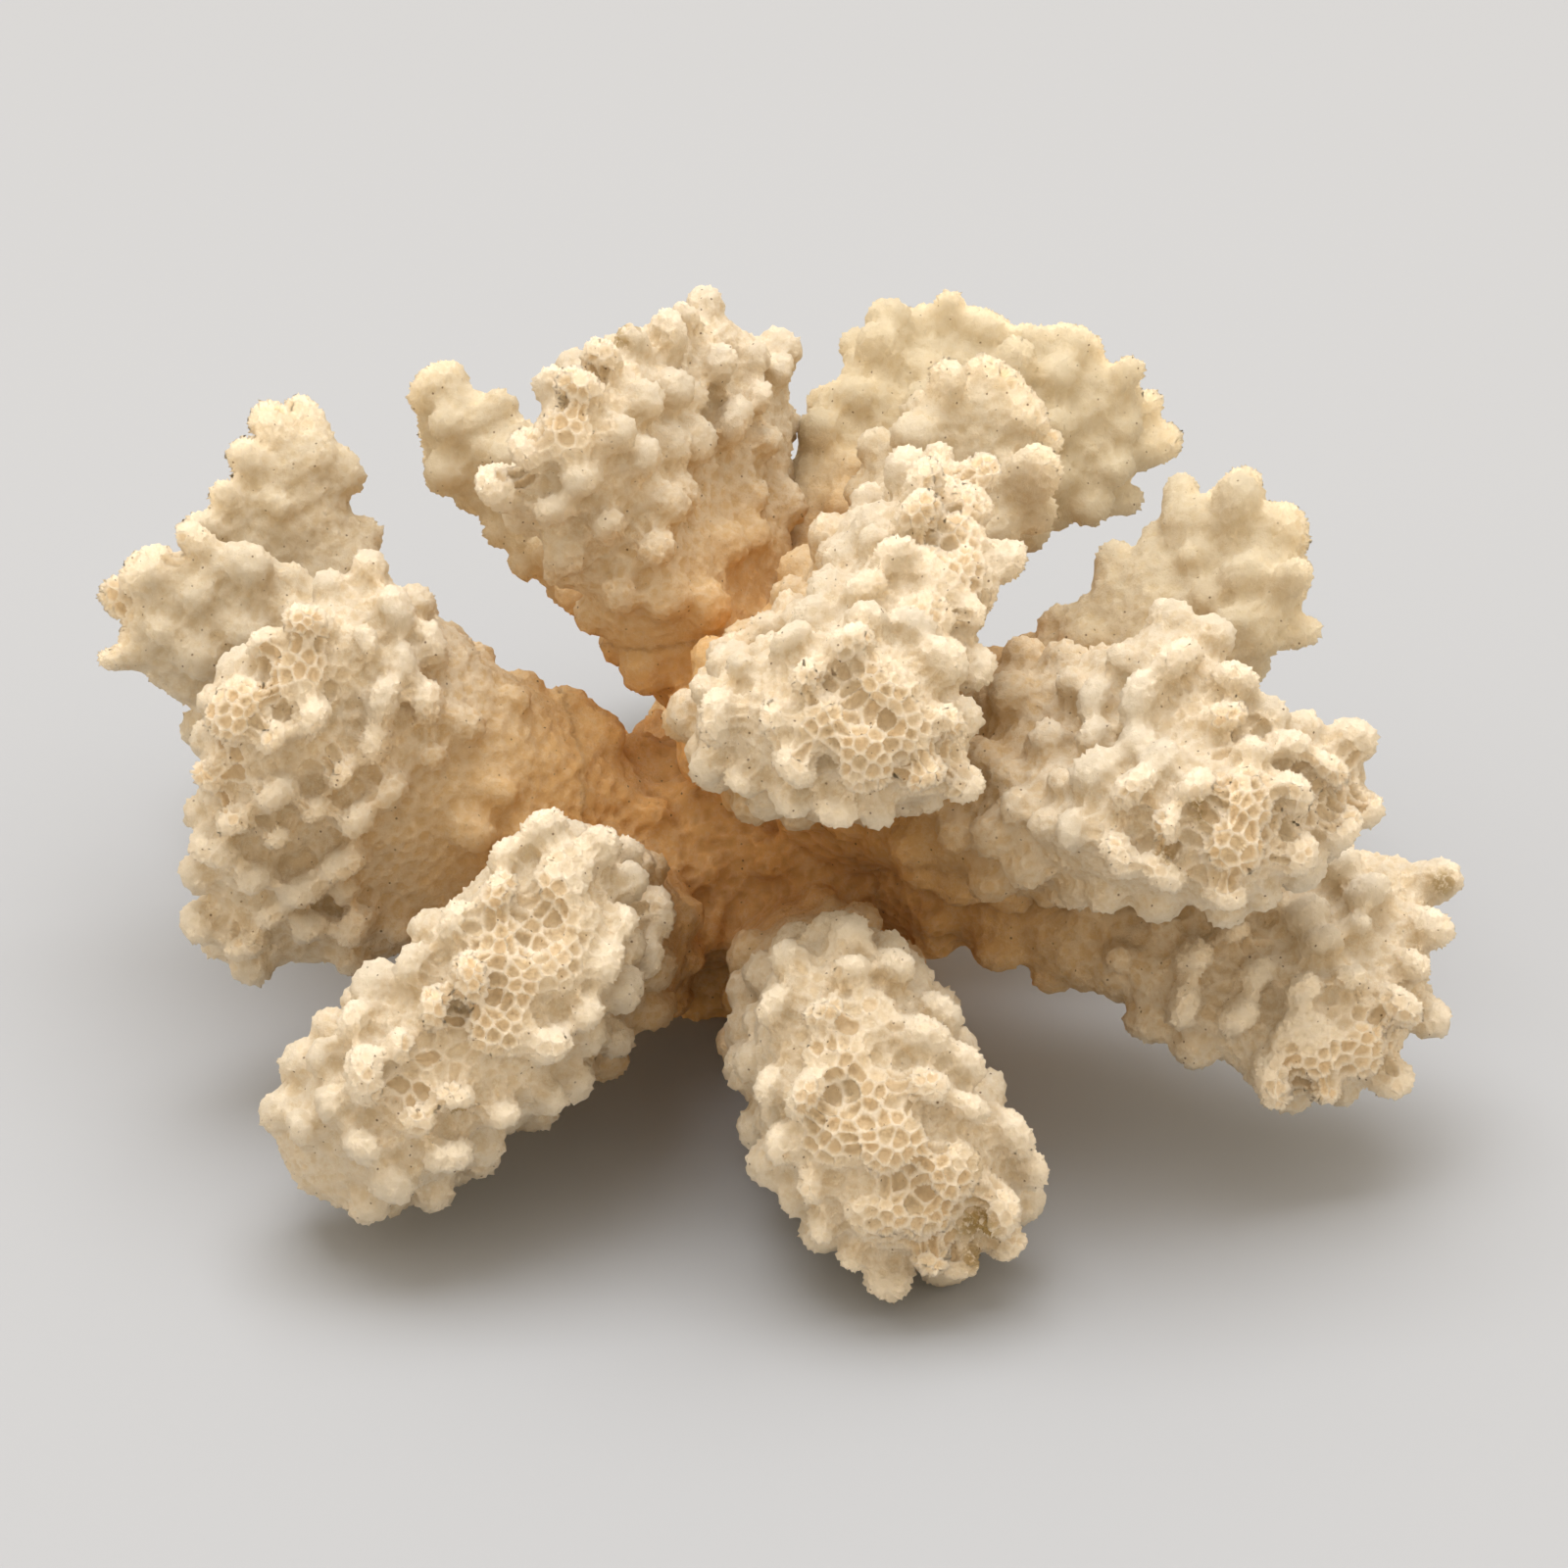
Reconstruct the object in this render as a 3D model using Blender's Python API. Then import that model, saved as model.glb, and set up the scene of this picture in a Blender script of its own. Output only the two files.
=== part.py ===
"""Cauliflower coral skeleton: a short trunk that forks into flattened lobes, all covered in wart-like verrucae.

Lengths and places are in millimetres, and the meshes are made in metres.
The origin is the centre of the flat cut under the trunk: +X runs right, +Y to the back and +Z up.
"""

import math

import bmesh
import bpy
import numpy as np
from mathutils import Vector

MM = 0.001

# Verrucae, the warts that cover the skeleton: half their length, width and thickness
VERRUCA_LENGTH = 2.5
VERRUCA_WIDTH = 2.0
VERRUCA_THICKNESS = 1.6
VERRUCA_SPACING = 3.8
# How much they lean along the growth, and how far the bare form under them lies inside the lobes' full size
VERRUCA_LEAN = 0.7
VERRUCA_RISE = 1.1
# How far the longest of them reach out of the bare form
WART_REACH = 2.6
# The growing edge has low pads instead, where the skin faces along the growth by this cosine
CREST_FACING = 0.86
PAD_HEIGHT = 1.3
PAD_WIDTH = 2.6

# How finely the solids are made
BALL_STEP = 2.4
VOXEL = 0.9
FACE_AREA = 4.4
SEAM_GAP = 0.4
# The trunk rests on its flat cut, and the lobes stay this far above the ground
LOBE_CLEARANCE = 0.4

# The hub of the trunk, where the lobes meet, and the distance from it at which each one forks off
HUB = (-2.0, -4.0, 13.0)
FORK = 13.5
# Balls of the trunk's own body: x, y, z and radius
TRUNK_BALLS = [
    (-2.0, -4.0, 11.0, 10.0),
    (-7.0, -6.0, 10.5, 8.5),
    (4.0, -6.0, 10.5, 8.5),
    (0.0, 3.0, 9.0, 9.5),
    (0.0, 0.0, 5.0, 11.0),
    (0.0, 0.5, 0.0, 10.5),
]

# Each lobe runs from its root to its ridges, which are the middle lines of its growing edge.
# A root is x, y, z and radius, a bend lifts the middle of the way, and a ridge point is x, y, z and radius.
LOBES = {
    "lobe_front_left": {
        "root": (-7.0, -10.0, 7.5, 5.5),
        "bend": (0.0, 0.0, 0.0),
        "ridges": [
            [
                (-12.5, -31.0, 20.5, 5.8),
                (-14.5, -33.0, 17.5, 7.2),
                (-17.5, -35.0, 13.5, 8.2),
                (-21.5, -36.5, 10.5, 8.2),
                (-24.5, -36.5, 7.8, 6.8),
            ]
        ],
    },
    "lobe_front": {
        "root": (3.0, -12.0, 6.5, 5.5),
        "bend": (0.0, 0.0, 0.0),
        "ridges": [
            [
                (5.5, -37.0, 15.5, 6.6),
                (7.0, -39.5, 11.5, 8.4),
                (9.0, -41.0, 9.0, 8.2),
                (13.0, -41.0, 6.0, 5.2),
            ]
        ],
    },
    "lobe_right_low": {
        "root": (9.0, -9.0, 12.0, 5.5),
        "bend": (0.0, 0.0, 4.0),
        "ridges": [
            [
                (40.6, -20.0, 15.3, 4.2),
                (39.7, -24.0, 12.4, 5.0),
                (37.3, -28.0, 10.4, 5.4),
                (33.4, -30.0, 9.2, 4.4),
            ]
        ],
    },
    "lobe_right_front": {
        "root": (7.0, -10.0, 18.0, 6.5),
        "bend": (0.0, 0.0, 0.0),
        "ridges": [
            [
                (26.1, -23.0, 32.4, 4.8),
                (28.3, -28.0, 29.5, 5.2),
                (28.4, -32.0, 26.4, 6.6),
                (23.6, -32.0, 26.4, 5.0),
            ],
            [(28.4, -32.0, 26.4, 6.6), (34.3, -27.0, 26.8, 5.0)],
        ],
    },
    "lobe_right_back": {
        "root": (10.0, -2.0, 13.0, 5.0),
        "bend": (0.0, 0.0, -2.0),
        "ridges": [
            [
                (29.0, 4.0, 30.4, 3.4),
                (33.4, 2.0, 30.7, 3.7),
                (34.5, -1.0, 28.2, 3.5),
                (32.9, -3.0, 25.7, 3.4),
            ]
        ],
    },
    "lobe_back_right": {
        "root": (3.0, 1.0, 20.0, 4.5),
        "bend": (-2.0, 0.0, 4.0),
        "ridges": [
            [
                (7.9, 17.0, 36.7, 3.2),
                (11.4, 19.0, 38.2, 3.6),
                (16.0, 18.0, 36.1, 3.4),
                (20.7, 17.0, 36.4, 3.5),
                (24.3, 16.0, 34.2, 3.5),
                (25.4, 15.0, 31.0, 3.2),
                (21.7, 13.0, 28.2, 3.3),
            ]
        ],
    },
    "lobe_top_right": {
        "root": (4.0, -3.0, 22.0, 5.0),
        "bend": (0.0, 0.0, 0.0),
        "ridges": [
            [
                (12.0, 2.0, 38.9, 3.6),
                (14.9, 3.0, 39.1, 3.6),
                (16.9, 2.0, 37.0, 3.4),
                (16.8, 0.0, 34.8, 3.6),
            ]
        ],
    },
    "lobe_crown": {
        "root": (1.0, -8.0, 22.0, 6.5),
        "bend": (0.0, 0.0, 0.0),
        "ridges": [
            [
                (11.6, -12.0, 40.0, 3.9),
                (11.1, -18.0, 37.5, 5.2),
                (8.0, -25.0, 34.8, 6.4),
                (6.0, -32.0, 34.0, 7.0),
                (0.5, -30.0, 32.6, 5.4),
            ],
            [(6.0, -32.0, 34.0, 7.0), (9.7, -32.0, 32.1, 5.2)],
        ],
    },
    "lobe_top_left": {
        "root": (-1.5, -3.0, 20.0, 4.5),
        "bend": (0.0, 0.0, 0.0),
        "ridges": [
            [
                (-13.7, -8.0, 38.9, 3.8),
                (-11.1, -8.0, 41.9, 4.6),
                (-9.1, -3.0, 42.7, 4.4),
                (-6.3, 3.0, 42.9, 4.0),
                (-3.1, 7.0, 41.6, 4.2),
                (0.4, 10.0, 38.9, 3.8),
                (1.0, 10.0, 34.6, 3.2),
            ]
        ],
    },
    "lobe_back_left": {
        "root": (-2.0, 1.0, 22.0, 4.0),
        "bend": (0.0, 0.0, 0.0),
        "ridges": [
            [
                (-18.0, 10.0, 36.6, 2.9),
                (-21.2, 11.0, 36.2, 3.2),
                (-21.1, 11.0, 32.0, 3.0),
                (-17.0, 8.0, 28.3, 3.1),
            ]
        ],
    },
    "lobe_left_back": {
        "root": (-8.0, 0.0, 11.0, 4.5),
        "bend": (-3.0, 0.0, -8.0),
        "ridges": [
            [
                (-35.5, 7.0, 28.0, 3.2),
                (-33.5, 9.0, 31.0, 3.4),
                (-30.0, 11.0, 32.0, 3.4),
                (-29.5, 11.0, 29.5, 3.2),
            ]
        ],
    },
    "lobe_left_tip": {
        "root": (-10.0, -2.0, 13.0, 5.0),
        "bend": (0.0, 0.0, -2.0),
        "ridges": [
            [
                (-32.0, 0.0, 29.0, 3.2),
                (-35.5, -1.0, 29.5, 3.5),
                (-38.8, -1.0, 28.0, 3.8),
                (-39.8, -1.0, 24.5, 3.8),
                (-38.2, -1.0, 21.5, 3.2),
            ]
        ],
    },
    "lobe_left_front": {
        "root": (-10.0, -8.0, 13.0, 7.0),
        "bend": (0.0, 0.0, 0.0),
        "ridges": [
            [
                (-24.6, -12.0, 31.6, 3.8),
                (-27.6, -17.0, 30.5, 4.7),
                (-31.1, -19.0, 27.3, 4.8),
                (-32.5, -19.0, 22.0, 4.5),
                (-33.0, -18.0, 16.7, 4.0),
                (-32.9, -17.0, 11.7, 3.9),
                (-30.4, -16.0, 10.1, 3.7),
            ]
        ],
    },
    "lobe_rear": {
        "root": (1.0, 7.0, 10.0, 5.5),
        "bend": (0.0, 0.0, 1.0),
        "ridges": [
            [
                (-8.0, 32.0, 12.5, 4.6),
                (-3.0, 35.0, 10.0, 5.4),
                (3.0, 35.5, 8.5, 5.6),
                (9.0, 33.0, 8.0, 4.8),
            ]
        ],
    },
    "lobe_rear_left": {
        "root": (-7.0, 4.0, 8.0, 5.0),
        "bend": (0.0, 0.0, -2.5),
        "ridges": [
            [
                (-32.0, 20.0, 16.5, 4.0),
                (-31.5, 24.0, 13.0, 4.8),
                (-28.5, 27.0, 9.5, 5.0),
                (-24.5, 28.0, 7.0, 4.4),
            ]
        ],
    },
    "lobe_rear_right": {
        "root": (7.0, 4.0, 9.0, 5.0),
        "bend": (0.0, 0.0, -2.0),
        "ridges": [
            [
                (31.0, 17.0, 17.5, 4.2),
                (32.0, 21.0, 14.0, 4.8),
                (29.5, 25.0, 10.0, 5.0),
                (25.0, 27.0, 7.5, 4.4),
            ]
        ],
    },
}

COLOUR = (0.86, 0.79, 0.66, 1.0)
ROUGHNESS = 0.85


def clear_scene():
    for thing in list(bpy.data.objects):
        bpy.data.objects.remove(thing, do_unlink=True)


def coral_material(name):
    material = bpy.data.materials.new(name)
    material.use_nodes = True
    shader = material.node_tree.nodes["Principled BSDF"]
    shader.inputs["Base Color"].default_value = COLOUR
    shader.inputs["Roughness"].default_value = ROUGHNESS
    shader.inputs["Metallic"].default_value = 0.0
    return material


def point(values):
    return Vector(values[:3])


def steps_between(a, b):
    return max(1, math.ceil((point(b) - point(a)).length / BALL_STEP))


def ridge_samples(ridge):
    """Points (x, y, z, radius) along a ridge, a ball's step apart."""
    samples = [ridge[0]]
    for a, b in zip(ridge, ridge[1:]):
        count = steps_between(a, b)
        for k in range(1, count + 1):
            samples.append(tuple(np.array(a) + (np.array(b) - np.array(a)) * k / count))
    return samples


def lobe_balls(lobe):
    """(centre, radius) of the balls that fill a lobe from its root out to its ridges, without verrucae."""
    root = np.array(lobe["root"])
    bend = np.array((*lobe["bend"], 0.0))
    for ridge in lobe["ridges"]:
        for crest in ridge_samples(ridge):
            count = steps_between(lobe["root"], crest)
            for k in range(count + 1):
                u = k / count
                here = root * (1 - u) + np.array(crest) * u + bend * 2 * u * (1 - u)
                yield Vector(here[:3]), here[3] - VERRUCA_RISE


def trunk_balls():
    for ball in TRUNK_BALLS:
        yield point(ball), ball[3] - VERRUCA_RISE
    for lobe in LOBES.values():
        for centre, radius in lobe_balls(lobe):
            if (centre - Vector(HUB)).length < FORK + radius:
                yield centre, radius


def unit_ball():
    """A ball of radius 1 as arrays: its vertices and its triangles."""
    bm = bmesh.new()
    bmesh.ops.create_icosphere(bm, subdivisions=2, radius=1.0)
    places = np.array([vert.co for vert in bm.verts])
    faces = np.array([[vert.index for vert in face.verts] for face in bm.faces])
    bm.free()
    return places, faces


def ellipsoid_mesh(ellipsoids):
    """One mesh of many ellipsoids: each has its centre and the 3 x 3 array that stretches and turns a unit ball."""
    places, faces = unit_ball()
    all_places = [places @ shape.T + centre for centre, shape in ellipsoids]
    all_faces = [faces + len(places) * k for k in range(len(ellipsoids))]
    mesh = bpy.data.meshes.new("helper")
    mesh.from_pydata(np.concatenate(all_places) * MM, [], np.concatenate(all_faces).tolist())
    return mesh


def round_balls(balls):
    return [(np.array(centre), np.eye(3) * radius) for centre, radius in balls]


def with_modifiers(mesh, *modifiers):
    """A new mesh: the given one with modifiers (type, settings) applied in turn."""
    thing = bpy.data.objects.new("helper", mesh)
    bpy.context.scene.collection.objects.link(thing)
    for kind, settings in modifiers:
        modifier = thing.modifiers.new(kind.lower(), kind)
        for key, value in settings.items():
            setattr(modifier, key, value)
    graph = bpy.context.evaluated_depsgraph_get()
    made = bpy.data.meshes.new_from_object(thing.evaluated_get(graph))
    bpy.data.objects.remove(thing)
    bpy.data.meshes.remove(mesh)
    return made


def fused(ellipsoids):
    """One closed skin round all the ellipsoids."""
    settings = {"mode": "VOXEL", "voxel_size": VOXEL * MM}
    return with_modifiers(ellipsoid_mesh(ellipsoids), ("REMESH", settings))


def spaced_vertices(mesh, random):
    """Vertices of the mesh at least a verruca's spacing apart, as (place, normal) in millimetres."""
    count = len(mesh.vertices)
    places = np.empty(count * 3, np.float32)
    normals = np.empty(count * 3, np.float32)
    mesh.vertices.foreach_get("co", places)
    mesh.vertices.foreach_get("normal", normals)
    places = places.reshape(-1, 3) / MM
    normals = normals.reshape(-1, 3)
    free = np.ones(count, bool)
    for index in random.permutation(count):
        if free[index]:
            free &= ((places - places[index]) ** 2).sum(1) > VERRUCA_SPACING**2
            yield Vector(places[index]), Vector(normals[index])


def verrucae(form, growth_of, random):
    """Warts all over a bare form, leaning along its growth, and low pads along its growing edge."""
    for place, normal in spaced_vertices(form, random):
        growth = growth_of(place)
        facing = normal.dot(growth)
        size = random.uniform(0.85, 1.15)
        slim = random.uniform(0.85, 1.15)
        if facing > CREST_FACING:
            outward = normal
            radii = (PAD_WIDTH * slim, PAD_WIDTH / slim, PAD_HEIGHT * size)
        else:
            outward = (normal + (growth - normal * facing) * VERRUCA_LEAN).normalized()
            radii = (VERRUCA_WIDTH * size * slim, VERRUCA_THICKNESS * size, VERRUCA_LENGTH * size)
        turn = np.array(outward.to_track_quat("Z", "Y").to_matrix())
        yield np.array(place), turn @ np.diag(radii)


def warty_solid(balls, growth_of, random):
    """Bare form and verrucae fused, smoothed a little, and thinned to one face for each FACE_AREA of skin."""
    body = round_balls(balls)
    form = fused(body)
    mesh = fused(body + list(verrucae(form, growth_of, random)))
    bpy.data.meshes.remove(form)
    area = sum(face.area for face in mesh.polygons) / MM**2
    ratio = area / FACE_AREA / (2 * len(mesh.polygons))
    smooth = ("SMOOTH", {"factor": 0.5, "iterations": 2})
    return with_modifiers(mesh, smooth, ("DECIMATE", {"ratio": ratio, "use_collapse_triangulate": True}))


def cut_away(bm, place, outward):
    """Cuts the mesh flat at a plane, drops what lies on its outward side and closes the cut."""
    everything = bm.verts[:] + bm.edges[:] + bm.faces[:]
    bmesh.ops.bisect_plane(
        bm, geom=everything, dist=1e-7, plane_co=place * MM, plane_no=outward, clear_outer=True
    )
    rim = [edge for edge in bm.edges if edge.is_boundary]
    if rim:
        caps = bmesh.ops.holes_fill(bm, edges=rim, sides=0)["faces"]
        bmesh.ops.triangulate(bm, faces=caps)


def keep_largest(bm):
    """Drops the crumbs that a cut leaves beside the main body."""
    unseen = set(bm.verts)
    bodies = []
    while unseen:
        body = set()
        front = [unseen.pop()]
        while front:
            vert = front.pop()
            body.add(vert)
            for edge in vert.link_edges:
                other = edge.other_vert(vert)
                if other in unseen:
                    unseen.remove(other)
                    front.append(other)
        bodies.append(body)
    bodies.sort(key=len)
    crumbs = [vert for body in bodies[:-1] for vert in body]
    bmesh.ops.delete(bm, geom=crumbs, context="VERTS")


def axis_of(lobe):
    """The way a lobe grows: from the hub to the middle of its ridges."""
    crest = [point(p) for ridge in lobe["ridges"] for p in ridge]
    middle = sum(crest, Vector()) / len(crest)
    return (middle - Vector(HUB)).normalized()


def outer_balls(lobe):
    axis = axis_of(lobe)
    return [(c, r) for c, r in lobe_balls(lobe) if (c - Vector(HUB)).dot(axis) > FORK]


def clearance_along(normal, a, b):
    """How far ball set b lies beyond ball set a along a normal, and the middle of that gap."""
    high = (a[:, :3] @ normal + a[:, 3]).max()
    low = (b[:, :3] @ normal - b[:, 3]).min()
    return low - high, (low + high) / 2


def seam_between(first, second):
    """The plane that parts two lobes best, as (place, normal towards the second), or None where they are clear."""
    a, b = (np.array([(*c, r) for c, r in outer_balls(lobe)]) for lobe in (first, second))
    between = np.linalg.norm(a[:, None, :3] - b[None, :, :3], axis=2) - a[:, None, 3] - b[None, :, 3]
    if between.min() > 2 * WART_REACH:
        return None
    i, j = np.unravel_index(between.argmin(), between.shape)
    rows = np.column_stack([np.vstack([a, b])[:, :3], np.ones(len(a) + len(b))])
    sides = np.concatenate([-np.ones(len(a)), np.ones(len(b))])
    starts = [np.linalg.lstsq(rows, sides, rcond=None)[0][:3], b[j, :3] - a[i, :3]]
    random = np.random.default_rng(3)
    best = None
    for start in starts:
        normal = start / np.linalg.norm(start)
        gap, middle = clearance_along(normal, a, b)
        for turn in range(200):
            other = normal + random.normal(0.0, 0.3 / (1 + turn / 20), 3)
            other /= np.linalg.norm(other)
            found = clearance_along(other, a, b)
            if found[0] > gap:
                normal, (gap, middle) = other, found
        if best is None or gap > best[0]:
            best = gap, middle, normal
    gap, middle, normal = best
    if gap > 2 * WART_REACH:
        return None
    return Vector(normal * middle), Vector(normal)


def cut_planes():
    """For each node, the planes that bound it: (place, outward normal), half a seam's gap clear on each side."""
    down = Vector((0.0, 0.0, -1.0))
    planes = {name: [(Vector((0.0, 0.0, LOBE_CLEARANCE)), down)] for name in LOBES}
    planes["trunk"] = [(Vector((0.0, 0.0, 0.0)), down)]
    gap = SEAM_GAP / 2
    for name, lobe in LOBES.items():
        axis = axis_of(lobe)
        fork = Vector(HUB) + axis * FORK
        planes["trunk"].append((fork - axis * gap, axis))
        planes[name].append((fork + axis * gap, -axis))
    names = list(LOBES)
    for i, first in enumerate(names):
        for second in names[i + 1 :]:
            seam = seam_between(LOBES[first], LOBES[second])
            if seam:
                place, normal = seam
                planes[first].append((place - normal * gap, normal))
                planes[second].append((place + normal * gap, -normal))
    return planes


def add_node(name, mesh, planes):
    bm = bmesh.new()
    bm.from_mesh(mesh)
    bpy.data.meshes.remove(mesh)
    for place, outward in planes:
        cut_away(bm, place, outward)
    keep_largest(bm)
    made = bpy.data.meshes.new(name)
    bm.to_mesh(made)
    bm.free()
    made.materials.append(coral_material(name))
    thing = bpy.data.objects.new(name, made)
    bpy.context.scene.collection.objects.link(thing)
    return thing


def main():
    clear_scene()
    planes = cut_planes()
    for number, (name, lobe) in enumerate(LOBES.items()):
        root = point(lobe["root"])
        mesh = warty_solid(
            lobe_balls(lobe),
            lambda place, root=root: (place - root).normalized(),
            np.random.default_rng(number + 1),
        )
        add_node(name, mesh, planes[name])
    mesh = warty_solid(
        trunk_balls(),
        lambda place: (place - Vector(HUB)).normalized(),
        np.random.default_rng(0),
    )
    add_node("trunk", mesh, planes["trunk"])


main()
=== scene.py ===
"""Cauliflower coral: the fine skeleton with its warts and corallites, on a pale floor in soft studio light.

Lengths are in millimetres until the meshes are made, which are in metres.
"""

import math

import bmesh
import bpy
import numpy as np
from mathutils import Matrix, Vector, noise
from mathutils.kdtree import KDTree


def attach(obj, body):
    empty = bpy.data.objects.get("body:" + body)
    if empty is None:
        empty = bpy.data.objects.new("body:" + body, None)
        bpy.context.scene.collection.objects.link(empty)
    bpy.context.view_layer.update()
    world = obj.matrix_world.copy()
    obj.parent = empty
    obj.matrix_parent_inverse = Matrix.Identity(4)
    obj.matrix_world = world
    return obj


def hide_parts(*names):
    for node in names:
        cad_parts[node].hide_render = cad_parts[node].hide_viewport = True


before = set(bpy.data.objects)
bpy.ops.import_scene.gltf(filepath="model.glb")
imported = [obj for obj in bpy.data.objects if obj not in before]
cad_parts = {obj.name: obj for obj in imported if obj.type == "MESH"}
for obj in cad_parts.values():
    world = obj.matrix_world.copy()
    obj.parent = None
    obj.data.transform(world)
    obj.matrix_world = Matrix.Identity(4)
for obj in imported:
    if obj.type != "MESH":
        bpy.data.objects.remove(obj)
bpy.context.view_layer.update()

MM = 0.001
BODY = "root"

# The forms, as in the CAD: the hub, the distance at which the lobes fork off, and the trunk's balls
HUB = np.array((-2.0, -4.0, 13.0))
FORK = 13.5
TRUNK_BALLS = [
    (-2.0, -4.0, 11.0, 10.0),
    (-7.0, -6.0, 10.5, 8.5),
    (4.0, -6.0, 10.5, 8.5),
    (0.0, 3.0, 9.0, 9.5),
    (0.0, 0.0, 5.0, 11.0),
    (0.0, 0.5, 0.0, 10.5),
]

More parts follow.
